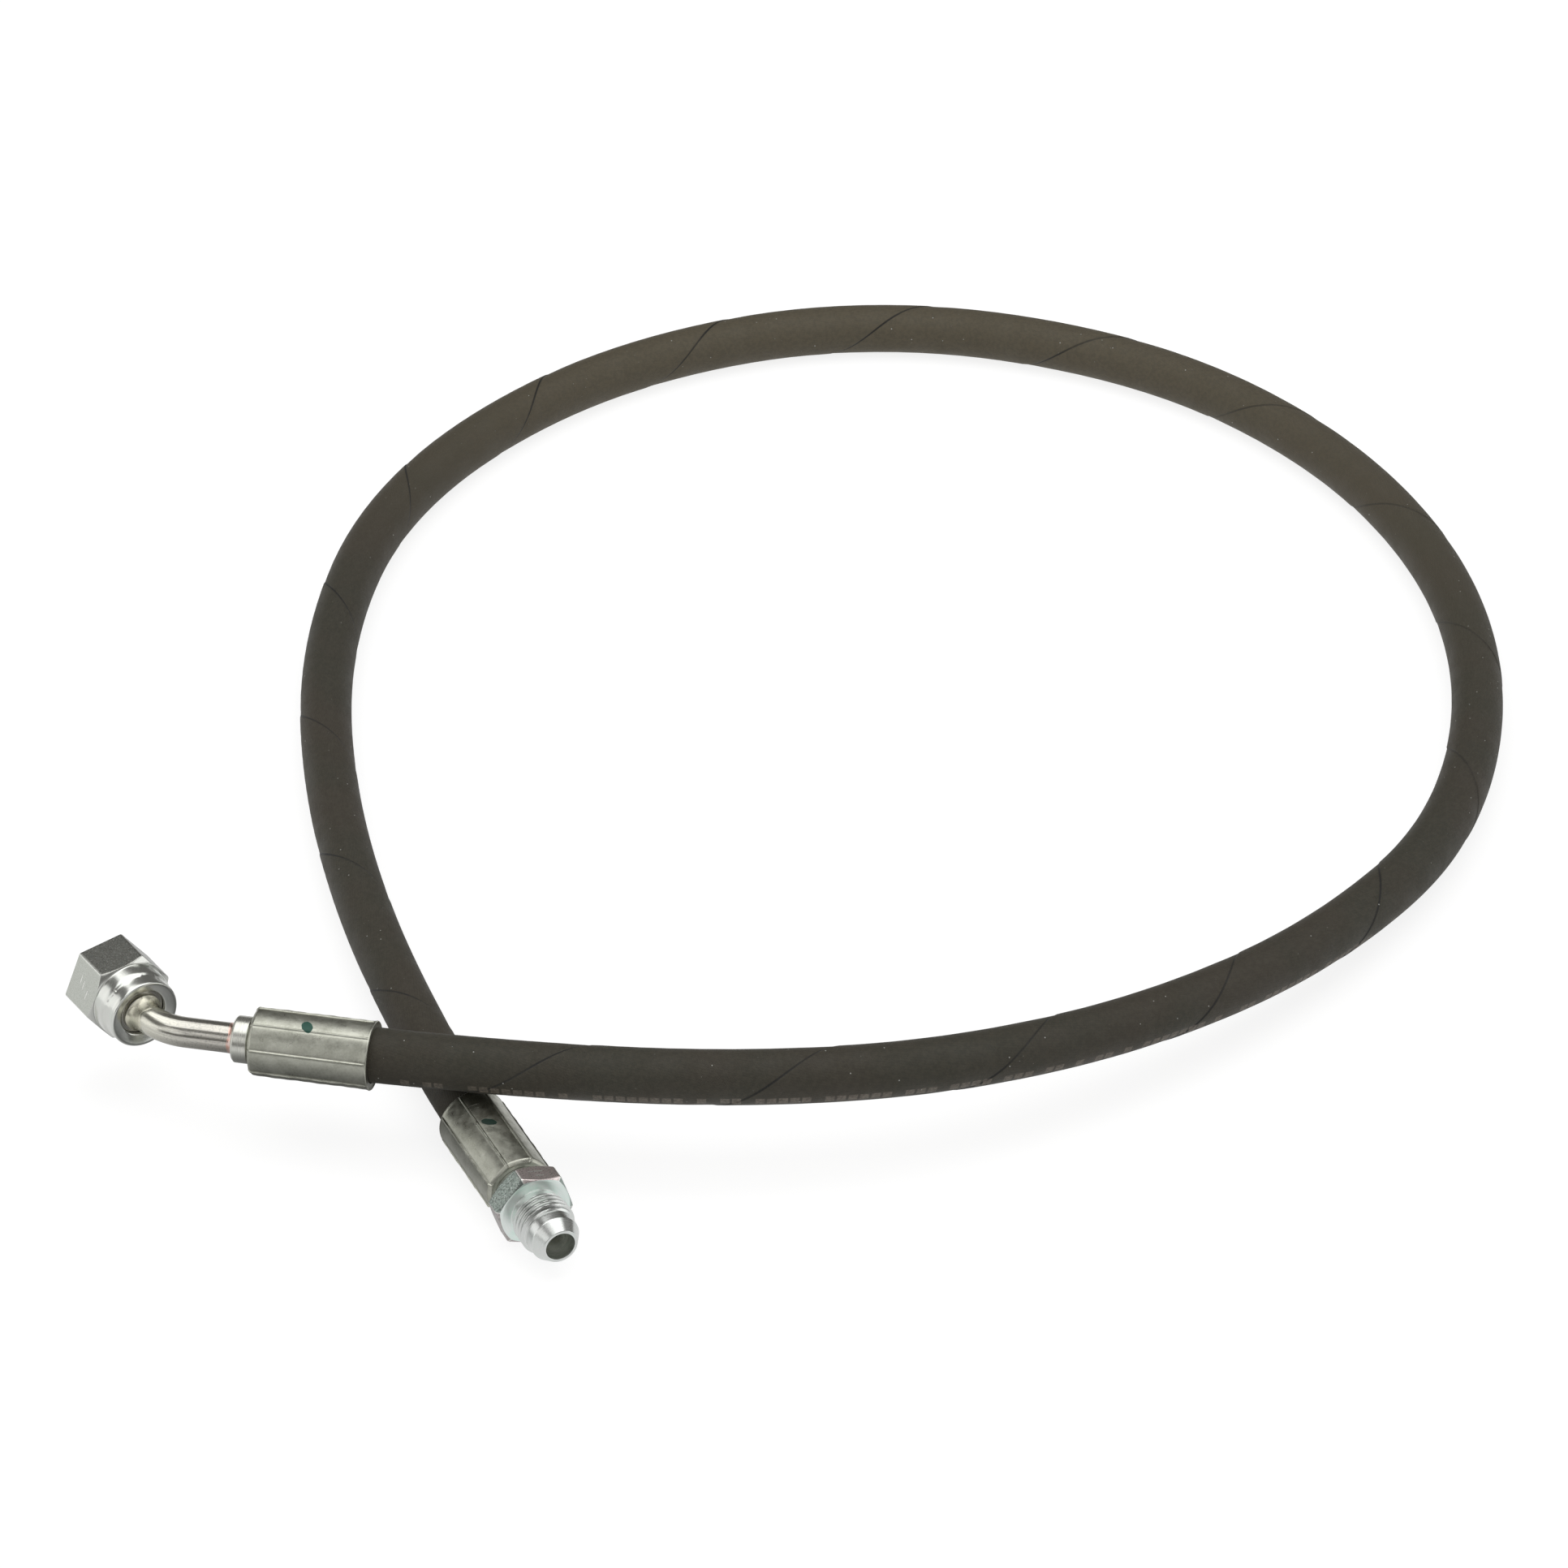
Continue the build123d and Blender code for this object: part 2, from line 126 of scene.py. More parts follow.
# ---- materials ----
class Look:
    """A procedural material, built up socket by socket."""

    def __init__(self, name, **sockets):
        self.material = bpy.data.materials.new(name)
        self.material.use_nodes = True
        self.tree = self.material.node_tree
        self.shader = self.tree.nodes["Principled BSDF"]
        for socket, value in sockets.items():
            self.shader.inputs[socket.replace("_", " ")].default_value = value
        uv = self.tree.nodes.new("ShaderNodeUVMap")
        uv.uv_map = UV_NAME
        parts = self.tree.nodes.new("ShaderNodeSeparateXYZ")
        self.tree.links.new(uv.outputs[0], parts.inputs[0])
        self.u, self.v = parts.outputs[0], parts.outputs[1]
        self.place = self.tree.nodes.new("ShaderNodeTexCoord").outputs["Object"]

    def put(self, socket, value):
        if isinstance(value, bpy.types.NodeSocket):
            self.tree.links.new(value, socket)
        else:
            socket.default_value = value

    def give(self, socket, value):
        self.put(self.shader.inputs[socket], value)

    def math(self, operation, *values, clamp=False):
        node = self.tree.nodes.new("ShaderNodeMath")
        node.operation = operation
        node.use_clamp = clamp
        for socket, value in zip(node.inputs, values):
            self.put(socket, value)
        return node.outputs[0]

    def spread(self, value, low, high, to_low=0.0, to_high=1.0):
        """Map a value from one range to another, smoothly, held at both ends."""
        node = self.tree.nodes.new("ShaderNodeMapRange")
        node.interpolation_type = "SMOOTHSTEP"
        for socket, number in zip(node.inputs, (value, low, high, to_low, to_high)):
            self.put(socket, number)
        return node.outputs[0]

    def point(self, x, y, z=0.0):
        node = self.tree.nodes.new("ShaderNodeCombineXYZ")
        for socket, value in zip(node.inputs, (x, y, z)):
            self.put(socket, value)
        return node.outputs[0]

    def noise(self, scale, detail=2.0, roughness=0.5, where=None):
        node = self.tree.nodes.new("ShaderNodeTexNoise")
        self.put(node.inputs["Vector"], where or self.place)
        node.inputs["Scale"].default_value = scale
        node.inputs["Detail"].default_value = detail
        node.inputs["Roughness"].default_value = roughness
        return node.outputs["Fac"]

    def cells(self, scale, where=None):
        """Distance to the nearest cell point, and that cell's random number."""
        node = self.tree.nodes.new("ShaderNodeTexVoronoi")
        self.put(node.inputs["Vector"], where or self.place)
        node.inputs["Scale"].default_value = scale
        parts = self.tree.nodes.new("ShaderNodeSeparateColor")
        self.tree.links.new(node.outputs["Color"], parts.inputs[0])
        return node.outputs["Distance"], parts.outputs[0]

    def blend(self, factor, a, b):
        node = self.tree.nodes.new("ShaderNodeMix")
        node.data_type = "RGBA"
        self.put(node.inputs["Factor"], factor)
        self.put(node.inputs[6], a)
        self.put(node.inputs[7], b)
        return node.outputs[2]

    def bump(self, height, depth_mm, under=None):
        node = self.tree.nodes.new("ShaderNodeBump")
        self.put(node.inputs["Height"], height)
        node.inputs["Distance"].default_value = depth_mm * MM
        if under:
            self.put(node.inputs["Normal"], under)
        return node.outputs[0]

    def rings(self, per_mm, wobble=0.35):
        """Fine turning marks: noise stretched round the piece, fine along its outline."""
        across = self.math("MULTIPLY", self.u, per_mm)
        around = self.math("MULTIPLY", self.v, wobble)
        return self.noise(1.0, 3.0, 0.6, self.point(across, around))

    def ellipse(self, u, v, half_u, half_v, ragged=0.15, skew=0.0):
        """1 inside an ellipse at (u mm, v turns), 0 outside, with a ragged edge.

        skew is how many mm the ellipse leans along the piece for each turn round it."""
        turn = self.math("FRACT", self.math("ADD", self.math("SUBTRACT", self.v, v), 0.5))
        turn = self.math("SUBTRACT", turn, 0.5)
        lean = self.math("MULTIPLY", turn, skew)
        du = self.math("DIVIDE", self.math("ADD", self.math("SUBTRACT", self.u, u), lean), half_u)
        dv = self.math("DIVIDE", turn, half_v)
        square = self.math("ADD", self.math("MULTIPLY", du, du), self.math("MULTIPLY", dv, dv))
        uneven = self.math("MULTIPLY", self.noise(900.0, 2.0), ragged * 4)
        return self.spread(self.math("ADD", square, uneven), 1.15 + ragged * 2, 0.95 + ragged * 2)

    def vector(self, operation, *values):
        node = self.tree.nodes.new("ShaderNodeVectorMath")
        node.operation = operation
        for socket, value in zip(node.inputs, values):
            self.put(socket, value)
        return node

    def reach(self, mouth, heading):
        """Distance in metres from a straight fitting's axis."""
        forward = (math.cos(math.radians(heading)), math.sin(math.radians(heading)), 0.0)
        from_mouth = self.vector("SUBTRACT", self.place, mouth).outputs[0]
        across = self.vector("CROSS_PRODUCT", from_mouth, forward).outputs[0]
        return self.vector("LENGTH", across).outputs["Value"]


def rgb(red, green, blue):
    return (red, green, blue, 1.0)


def hose_rubber():
    look = Look("hose_rubber", Specular_IOR_Level=0.40, Sheen_Weight=0.04, Sheen_Roughness=0.45)
    patches = look.spread(look.noise(38.0, 3.0), 0.35, 0.65)
    base = look.blend(patches, rgb(0.036, 0.034, 0.023), rgb(0.044, 0.036, 0.025))
    # painted light: the far run is painted paler, standing for the brighter light it gets
    rises, falls = look.spread(look.u, *FAR_RUN_LIGHT_RISES), look.spread(look.u, *FAR_RUN_LIGHT_FALLS)
    far_run_painted_light = look.math("MULTIPLY", rises, falls)
    base = look.blend(look.math("MULTIPLY", far_run_painted_light, 0.8), base, rgb(0.125, 0.104, 0.066))
    mottle = look.spread(look.noise(900.0, 4.0, 0.7), 0.40, 0.62, 0.0, 0.45)
    base = look.blend(mottle, base, rgb(0.066, 0.058, 0.040))

    # the textile wrap's imprint, two thread directions, one much stronger
    across = look.math("MULTIPLY", look.v, 42.0)
    strong_turns = look.math("MULTIPLY", across, 2 * math.pi * 2)
    weak_turns = look.math("MULTIPLY", across, 2 * math.pi * 1.5)
    strong = look.math("ADD", look.math("MULTIPLY", look.u, 12.2), strong_turns)
    weak = look.math("SUBTRACT", look.math("MULTIPLY", look.u, 9.0), weak_turns)
    faint = look.math("MULTIPLY", look.math("SINE", weak), 0.45)
    threads = look.math("ADD", look.math("SINE", strong), faint)
    imprint = look.spread(threads, -1.4, 1.4, 0.0, 0.22)
    base = look.blend(imprint, base, rgb(0.072, 0.067, 0.048))

    # the wrap's seam, fainter along the far run
    edge = look.math("PINGPONG", look.v, 0.5)
    seam = look.spread(edge, 0.011, 0.003)
    worn = look.spread(look.noise(55.0, 2.0), 0.40, 0.60, 0.72, 0.98)
    fades = look.spread(look.u, *SEAM_FADES, 1.0, FADED_SEAM)
    returns = look.spread(look.u, *SEAM_RETURNS, FADED_SEAM, 1.0)
    worn = look.math("MULTIPLY", worn, look.math("MAXIMUM", fades, returns))
    base = look.blend(look.math("MULTIPLY", seam, worn), base, rgb(0.009, 0.009, 0.008))

    # pale dust
    distance, pick = look.cells(340.0)
    grains = look.math("GREATER_THAN", pick, 0.55)
    speck = look.math("MULTIPLY", look.spread(distance, 0.070, 0.040), grains)
    fine, fine_pick = look.cells(900.0)
    few = look.math("GREATER_THAN", fine_pick, 0.93)
    mote = look.math("MULTIPLY", look.spread(fine, 0.10, 0.05), few)
    dust = look.math("MAXIMUM", speck, look.math("MULTIPLY", mote, 0.55))
    base = look.blend(look.math("MULTIPLY", dust, 0.8), base, rgb(0.50, 0.50, 0.47))

    # worn pale marks in a plain dashed row, low on the outer side of the near run
    from_peak = look.math("SUBTRACT", look.u, WRAP_DRIFT_PEAK)
    swing = look.math("MULTIPLY", from_peak, 2 * math.pi / WRAP_DRIFT_PERIOD)
    drift = look.math("MULTIPLY", look.math("COSINE", swing), WRAP_DRIFT)
    wound = look.math("DIVIDE", look.math("SUBTRACT", look.u, drift), WRAP_PITCH)
    unwound = look.math("SUBTRACT", look.v, wound)
    turn = look.math("FRACT", look.math("ADD", unwound, WRAP_START))
    low, high = DASH_ROW
    above = look.spread(turn, low, low + DASH_EDGE)
    below = look.spread(turn, high, high - DASH_EDGE)
    dash = look.math("DIVIDE", look.u, DASH_PITCH)
    inside = look.spread(look.math("PINGPONG", dash, 0.5), 0.08, 0.14)
    chance = look.tree.nodes.new("ShaderNodeTexWhiteNoise")
    chance.noise_dimensions = "1D"
    look.put(chance.inputs["W"], look.math("FLOOR", dash))
    shown = look.math("GREATER_THAN", chance.outputs["Value"], 0.22)
    stretch_start = look.spread(look.u, *DASHES_RISE)
    stretch_end = look.spread(look.u, *DASHES_END)
    rubbed = look.spread(look.noise(1500.0, 3.0), 0.38, 0.62, 0.22, 0.50)
    mark = above
    for share in (below, inside, shown, stretch_start, stretch_end, rubbed):
        mark = look.math("MULTIPLY", mark, share)
    base = look.blend(mark, base, rgb(0.26, 0.22, 0.18))

    look.give("Base Color", base)
    look.give("Roughness", look.spread(look.noise(160.0, 3.0), 0.3, 0.7, 0.56, 0.68))
    grain = look.bump(look.noise(2600.0, 3.0, 0.6), 0.05)
    woven = look.bump(threads, 0.016, grain)
    look.give("Normal", look.bump(seam, -0.05, woven))
    return look.material


def ferrule_zinc(name, dot, paint, stamps):
    """Dull zinc plate with a green inspection dot and plain stamped dents.

    dot is (u, v, half_u, half_v, skew), and each of stamps is (u, v, half_u, half_v)."""
    look = Look(name)
    cloud = look.spread(look.noise(210.0, 4.0, 0.6), 0.3, 0.7)
    base = look.blend(cloud, rgb(0.38, 0.385, 0.325), rgb(0.52, 0.525, 0.455))
    grain = look.noise(1900.0, 4.0, 0.7)
    base = look.blend(look.spread(grain, 0.35, 0.65, 0.0, 0.35), base, rgb(0.64, 0.65, 0.58))
    painted = look.ellipse(*dot[:4], skew=dot[4])
    thin_paint = [1.8 * channel for channel in paint]
    paint_tone = look.blend(look.noise(700.0, 2.0), rgb(*paint), rgb(*thin_paint))
    look.give("Base Color", look.blend(painted, base, paint_tone))
    look.give("Metallic", look.math("SUBTRACT", 1.0, painted))
    rough = look.spread(look.noise(480.0, 3.0, 0.6), 0.3, 0.7, 0.27, 0.40)
    look.give("Roughness", look.blend(painted, rough, rgb(0.42, 0.42, 0.42)))
    dents = 0.0
    for u, v, half_u, half_v in stamps:
        dents = look.math("MAXIMUM", dents, look.ellipse(u, v, half_u, half_v, 0.02))
    surface = look.bump(grain, 0.012)
    surface = look.bump(look.noise(330.0, 2.0), 0.028, surface)
    look.give("Normal", look.bump(dents, -0.30, surface))
    return look.material


def bright_turned(name, tone, roughness, marks_per_mm=9.0, depth=0.004, streaks=0.25,
                  thread=None):
    """Zinc plate over turning marks.

    thread is (mouth, heading, root, crest, first, last): the fitting's axis, the radii in mm
    between which its grooves get painted shade, and where it starts and ends along the outline."""
    look = Look(name, Metallic=1.0)
    marks = look.rings(marks_per_mm)
    darker = rgb(*(0.78 * channel for channel in tone))
    base = look.blend(look.spread(marks, 0.35, 0.70, 0.0, streaks * 2), rgb(*tone), darker)
    stain = look.spread(look.noise(260.0, 3.0), 0.45, 0.75, 0.0, 0.35)
    base = look.blend(stain, base, rgb(tone[0] * 0.92, tone[1], tone[2] * 0.96))
    if thread:
        mouth, heading, root, crest, first, last = thread
        # painted shade: the thread's grooves are darkened towards their roots
        painted_groove_shade = look.spread(look.reach(mouth, heading), root * MM, crest * MM, 1.0, 0.0)
        after = look.math("GREATER_THAN", look.u, first)
        in_thread = look.math("MULTIPLY", after, look.math("LESS_THAN", look.u, last))
        shade = look.math("MULTIPLY", painted_groove_shade, look.math("MULTIPLY", in_thread, 0.85))
        base = look.blend(shade, base, rgb(0.10, 0.11, 0.10))
    look.give("Base Color", base)
    look.give("Roughness", look.spread(marks, 0.3, 0.7, roughness * 0.8, roughness * 1.3))
    surface = look.bump(marks, depth)
    look.give("Normal", look.bump(look.noise(420.0, 2.0), 0.015, surface))
    return look.material


def hex_facets(name, lit_facet_tones, first_facet, speckle, roughness, strokes):
    """Drawn hexagon bar under zinc plate: each facet has its own speckles and painted glints, a
    tone that is partly the plating's tint and partly painted light, and a painted highlight along
    its corners.

    first_facet is the turn at which the first facet starts, and strokes are plain stamped
    bars, each (u, v, half_u, half_v)."""
    look = Look(name, Metallic=1.0)
    from_first = look.math("SUBTRACT", look.v, first_facet)
    sixth = look.math("FLOOR", look.math("MULTIPLY", look.math("FRACT", from_first), 6.0))
    # painted light: each facet gets its own tone, lighter or darker by how it faces the light
    base = rgb(*lit_facet_tones[0])
    amount = speckle[0]
    for index in range(1, 6):
        is_facet = look.math("COMPARE", sixth, float(index), 0.1)
        base = look.blend(is_facet, base, rgb(*lit_facet_tones[index]))
        amount = look.spread(is_facet, 0.0, 1.0, amount, speckle[index])
    grain = look.noise(2300.0, 3.0, 0.65)
    dark = look.math("MULTIPLY", look.spread(grain, 0.46, 0.60), amount)
    glint = look.spread(look.noise(2900.0, 2.0, 0.6), 0.58, 0.68)
    light = look.math("MULTIPLY", glint, look.math("MULTIPLY", amount, 0.8))
    along, around = look.math("MULTIPLY", look.u, 0.5), look.math("MULTIPLY", look.v, 260.0)
    scratch = look.noise(1.0, 2.0, 0.5, look.point(along, around))
    base = look.blend(look.spread(scratch, 0.60, 0.70, 0.0, 0.4), base, rgb(0.75, 0.77, 0.74))
    base = look.blend(dark, base, rgb(0.12, 0.13, 0.12))
    base = look.blend(light, base, rgb(0.80, 0.84, 0.80))
    # painted highlight: a bright line along the six rounded corners, standing for the light they
    # catch
    edge = look.math("PINGPONG", look.math("MULTIPLY", from_first, 6.0), 0.5)
    base = look.blend(look.spread(edge, 0.022, 0.008, 0.0, 0.8), base, rgb(0.90, 0.91, 0.87))
    stamped = 0.0
    for u, v, half_u, half_v in strokes:
        stamped = look.math("MAXIMUM", stamped, look.ellipse(u, v, half_u, half_v, 0.05))
    base = look.blend(look.math("MULTIPLY", stamped, 0.9), base, rgb(0.96, 0.96, 0.92))
    look.give("Base Color", base)
    look.give("Roughness", look.spread(grain, 0.3, 0.7, roughness * 0.75, roughness * 1.3))
    surface = look.bump(grain, 0.008)
    surface = look.bump(look.noise(600.0, 3.0), 0.02, surface)
    look.give("Normal", look.bump(stamped, -0.10, surface))
    return look.material


def washer_face():
    """The hexagon's turned front face, with the green cast of the passivated zinc."""
    look = Look("washer_face_zinc", Metallic=1.0)
    marks = look.rings(14.0)
    hue = look.noise(170.0, 2.0)
    base = look.blend(look.spread(hue, 0.35, 0.65), rgb(0.80, 0.95, 0.88), rgb(0.94, 0.97, 0.95))
    base = look.blend(look.spread(marks, 0.35, 0.7, 0.0, 0.35), base, rgb(0.58, 0.74, 0.68))
    look.give("Base Color", base)
    look.give("Roughness", look.spread(marks, 0.3, 0.7, 0.28, 0.42))
    look.give("Normal", look.bump(marks, 0.006))
    return look.material


def dull_bore():
    """Drilled bore, out of reach of the bright plating: pale and dull."""
    look = Look("dull_drilled_bore", Metallic=0.0)
    marks = look.rings(5.0)
    ridges = look.spread(marks, 0.3, 0.7)
    look.give("Base Color", look.blend(ridges, rgb(0.70, 0.70, 0.63), rgb(0.84, 0.84, 0.76)))
    look.give("Roughness", look.spread(marks, 0.3, 0.7, 0.6, 0.75))
    look.give("Normal", look.bump(marks, 0.02))
    return look.material


def drawn_tube():
    """Bright bent tube: drawing lines along it, heat tint by the collar, paler past the bend."""
    look = Look("bright_drawn_tube", Metallic=1.0)
    along = look.math("MULTIPLY", look.u, 0.12)
    around = look.math("MULTIPLY", look.v, 95.0)
    lines = look.noise(1.0, 3.0, 0.6, look.point(along, around))
    drawn = look.spread(lines, 0.38, 0.66, 0.0, 0.5)
    base = look.blend(drawn, rgb(0.67, 0.66, 0.60), rgb(0.42, 0.41, 0.37))
    base = look.blend(look.spread(look.u, 6.0, 22.0, 0.25, 0.0), base, rgb(0.56, 0.50, 0.45))
    speckle = look.spread(look.noise(2600.0, 2.0, 0.6), 0.50, 0.66, 0.0, 0.45)
    base = look.blend(speckle, base, rgb(0.36, 0.36, 0.33))
    base = look.blend(look.spread(look.u, 13.0, 26.0, 0.0, 0.6), base, rgb(0.78, 0.77, 0.66))
    look.give("Base Color", base)
    look.give("Roughness", look.spread(lines, 0.3, 0.7, 0.16, 0.26))
    look.give("Normal", look.bump(lines, 0.006))
    return look.material


def fused_braze(name, dark, light, unevenness=0.05):
    """Braze metal. unevenness is the depth of its waves in mm."""
    look = Look(name, Metallic=1.0)
    flow = look.noise(900.0, 3.0)
    look.give("Base Color", look.blend(look.spread(flow, 0.35, 0.65), dark, light))
    look.give("Roughness", look.spread(flow, 0.3, 0.7, 0.22, 0.36))
    look.give("Normal", look.bump(flow, unevenness))
    return look.material


def liner_rubber(name):
    look = Look(name)
    cloud = look.noise(300.0, 3.0)
    look.give("Base Color", look.blend(cloud, rgb(0.012, 0.012, 0.012), rgb(0.028, 0.027, 0.026)))
    look.give("Roughness", look.spread(cloud, 0.3, 0.7, 0.45, 0.60))
    look.give("Normal", look.bump(look.noise(1500.0, 2.0), 0.03))
    return look.material


def braided_wire(name):
    """Brassed wire laid both ways round the hose."""
    look = Look(name, Metallic=1.0)
    turns = look.math("MULTIPLY", look.v, 12 * 2 * math.pi)
    run = look.math("MULTIPLY", look.u, 1.35)
    one = look.math("SINE", look.math("ADD", turns, run))
    other = look.math("SINE", look.math("SUBTRACT", turns, run))
    weave = look.math("MAXIMUM", one, other)
    tone = look.spread(weave, -0.2, 1.0)
    look.give("Base Color", look.blend(tone, rgb(0.16, 0.12, 0.07), rgb(0.62, 0.53, 0.36)))
    look.give("Roughness", look.spread(weave, -0.2, 1.0, 0.5, 0.3))
    look.give("Normal", look.bump(weave, 0.12))
    return look.material


# ---- meshes ----
def build_closed(name, grid, u, v, materials, bands=None, smooth_below=40.0):
    """A watertight mesh from a grid of points that closes both along and round.

    u has one more value than the grid has rows, v one more than it has columns.
    """
    rows, columns = grid.shape[:2]
    row = np.arange(rows)[:, None]
    column = np.arange(columns)[None, :]
    next_row, next_column = (row + 1) % rows, (column + 1) % columns
    faces = np.stack([
        row * columns + column,
        row * columns + next_column,
        next_row * columns + next_column,
        next_row * columns + column,
    ], -1).reshape(-1, 4)
    mesh = bpy.data.meshes.new(name)
    mesh.from_pydata(grid.reshape(-1, 3).tolist(), [], faces.tolist())
    u_grid = np.broadcast_to(np.asarray(u, float)[:, None], (rows + 1, columns + 1))
    v_grid = np.broadcast_to(np.asarray(v, float)[None, :], (rows + 1, columns + 1))
    corners = [
        np.stack([value[:-1, :-1], value[:-1, 1:], value[1:, 1:], value[1:, :-1]], -1)
        for value in (u_grid, v_grid)
    ]
    layer = mesh.uv_layers.new(name=UV_NAME)
    layer.data.foreach_set("uv", np.stack(corners, -1).reshape(-1).astype(np.float32))
    for material in materials:
        mesh.materials.append(material)
    if bands is not None:
        mesh.polygons.foreach_set("material_index", np.repeat(np.asarray(bands, np.int32), columns))
    mesh.polygons.foreach_set("use_smooth", np.ones(len(mesh.polygons), bool))
    mesh.set_sharp_from_angle(angle=math.radians(smooth_below))
    mesh.update()
    piece = bpy.data.objects.new(name, mesh)
    bpy.context.scene.collection.objects.link(piece)
    return piece


def heading_frames(mouth, heading, distance, bend=None):
    """Centres and right-hand directions at distances (mm) along a fitting.

    bend is (start, radius, degrees) of a bend to the right."""
    distance = np.asarray(distance, float)
    angle = np.full(distance.shape, math.radians(heading))
    forward = np.stack([np.cos(angle), np.sin(angle), np.zeros_like(angle)], -1)
    centre = np.asarray(mouth) + distance[..., None] * MM * forward
    if bend:
        start, radius, sweep = bend
        first = forward.reshape(-1, 3)[0]
        right = np.array([first[1], -first[0], 0.0])
        turned = np.clip((distance - start) / radius, 0, math.radians(sweep))
        pivot = np.asarray(mouth) + start * MM * first + radius * MM * right
        angle = angle - turned
        forward = np.stack([np.cos(angle), np.sin(angle), np.zeros_like(angle)], -1)
        side = np.stack([forward[..., 1], -forward[..., 0], np.zeros_like(angle)], -1)
        beyond = np.maximum(distance - start - radius * math.radians(sweep), 0)
        on_arc = pivot - radius * MM * side + beyond[..., None] * MM * forward
        centre = np.where((distance > start)[..., None], on_arc, centre)
    side = np.stack([forward[..., 1], -forward[..., 0], np.zeros_like(angle)], -1)
    return centre, side


def turned_piece(name, mouth, heading, rows, degrees, materials, bend=None, shift=0.0, bands=None):
    """A piece round a fitting's axis. rows are (distance, radius) in mm, from the outline's
    start outside to its end in the bore; each may be a number or vary with the columns.
    bands gives the material of each row of faces."""
    degrees = np.asarray(degrees, float)
    shape = (len(rows), len(degrees))
    along = np.empty(shape)
    radius = np.empty(shape)
    for index, (distance, reach) in enumerate(rows):
        along[index], radius[index] = distance, reach
    centre, side = heading_frames(mouth, heading, along + shift, bend)
    theta = np.radians(degrees)[None, :, None]
    up = np.array([0.0, 0.0, 1.0])
    grid = centre + radius[..., None] * MM * (np.cos(theta) * up + np.sin(theta) * side)
    mean = np.stack([along.mean(1), radius.mean(1)], -1)
    steps = np.linalg.norm(np.diff(mean, axis=0, append=mean[:1]), axis=1)
    u = np.concatenate([[0.0], np.cumsum(steps)])
    v = np.append(degrees, degrees[0] + 360.0) / 360.0
    return build_closed(name, grid, u, v, materials, bands)


def eased(outline, ease=0.15, steps=4):
    """An outline of (distance, radius) with each corner rounded by a small curve, and
    a row just beyond each side of it that keeps the flat flat."""
    points = [np.array(point, float) for point in outline]
    result = []
    for index, corner in enumerate(points):
        before, after = points[index - 1], points[(index + 1) % len(points)]
        back, ahead = before - corner, after - corner
        reach = min(ease, 0.30 * np.linalg.norm(back), 0.30 * np.linalg.norm(ahead))
        back, ahead = back / np.linalg.norm(back), ahead / np.linalg.norm(ahead)
        start, end = corner + back * reach, corner + ahead * reach
        result.append(tuple(corner + back * reach * 1.4))
        for step in range(steps + 1):
            t = step / steps
            result.append(tuple((1 - t) ** 2 * start + 2 * t * (1 - t) * corner + t ** 2 * end))
        result.append(tuple(corner + ahead * reach * 1.4))
    return result


def along_outline(rows):
    """Each row's mean distance and radius, and the mm run along the outline to reach it."""
    outline = np.array([(np.mean(distance), np.mean(reach)) for distance, reach in rows])
    steps = np.linalg.norm(np.diff(outline, axis=0), axis=1)
    return outline[:, 0], outline[:, 1], np.concatenate([[0.0], np.cumsum(steps)])


def even_columns(count):
    return np.arange(count) * 360.0 / count


def hex_columns(corner):
    """Columns every 2.5 degrees, with closer ones on the six rounded corners."""
    columns = [corner + 2.5 * step for step in range(144)]
    for side in range(6):
        columns += [corner + 60 * side + offset for offset in (-1.25, -0.6, 0.6, 1.25)]
    return np.array(sorted(columns))


def hex_radius(degrees, flats, corner):
    """Radius of a hexagon of a width across flats, its corners a little rounded."""
    flat_ends = 28.9
    from_flat = np.abs((degrees - corner) % 60.0 - 30.0)
    reach = np.minimum(from_flat, flat_ends)
    rounding = np.clip((from_flat - flat_ends) / (30.0 - flat_ends), 0, 1) ** 2 * 0.03
    return flats / 2 / np.cos(np.radians(reach)) + rounding


def hex_rows(degrees, start, end, flats, corner, inset=0.15, front_inset=None):
    """Rows over a hexagon with both faces turned back at 30 degrees, edges softened.

    front_inset takes that much off the corners only, so that the front looks square."""
    outer = hex_radius(degrees, flats, corner)
    circle = flats / 2 - inset
    slope = math.tan(math.radians(30))
    cone = (outer - circle) * slope
    small = np.minimum(0.10, 0.3 * cone)
    dip = small * 0.35
    rows = [
        (start, circle - 0.5),
        (start, circle - 0.06),
        (start + 0.02, circle),
        (start + cone * 0.3, circle + (outer - circle) * 0.3),
        (start + cone - small * 1.3, outer - small * 1.3 / slope * 0.6),
        (start + cone - small * 0.5, outer - small * 0.5 / slope * 0.6),
        (start + cone + small * 0.3, outer - dip),
        (start + cone + small, outer),
        (start + cone + small + 0.15, outer),
    ]
    front = [(end + start - distance, reach) for distance, reach in reversed(rows)]
    if front_inset is not None:
        square = [
            (0.6, 0.0), (0.35, 0.0), (0.2, 0.0), (0.12, 0.03), (0.06, 0.08), (0.02, 0.15),
            (0.0, 0.3), (0.0, 0.6), (0.0, 1.2),
        ]
        front = [(end - back, outer - front_inset * down) for back, down in square]
    middle = (start + end) / 2
    return rows + [(middle - 1.2, outer), (middle + 1.2, outer)] + front


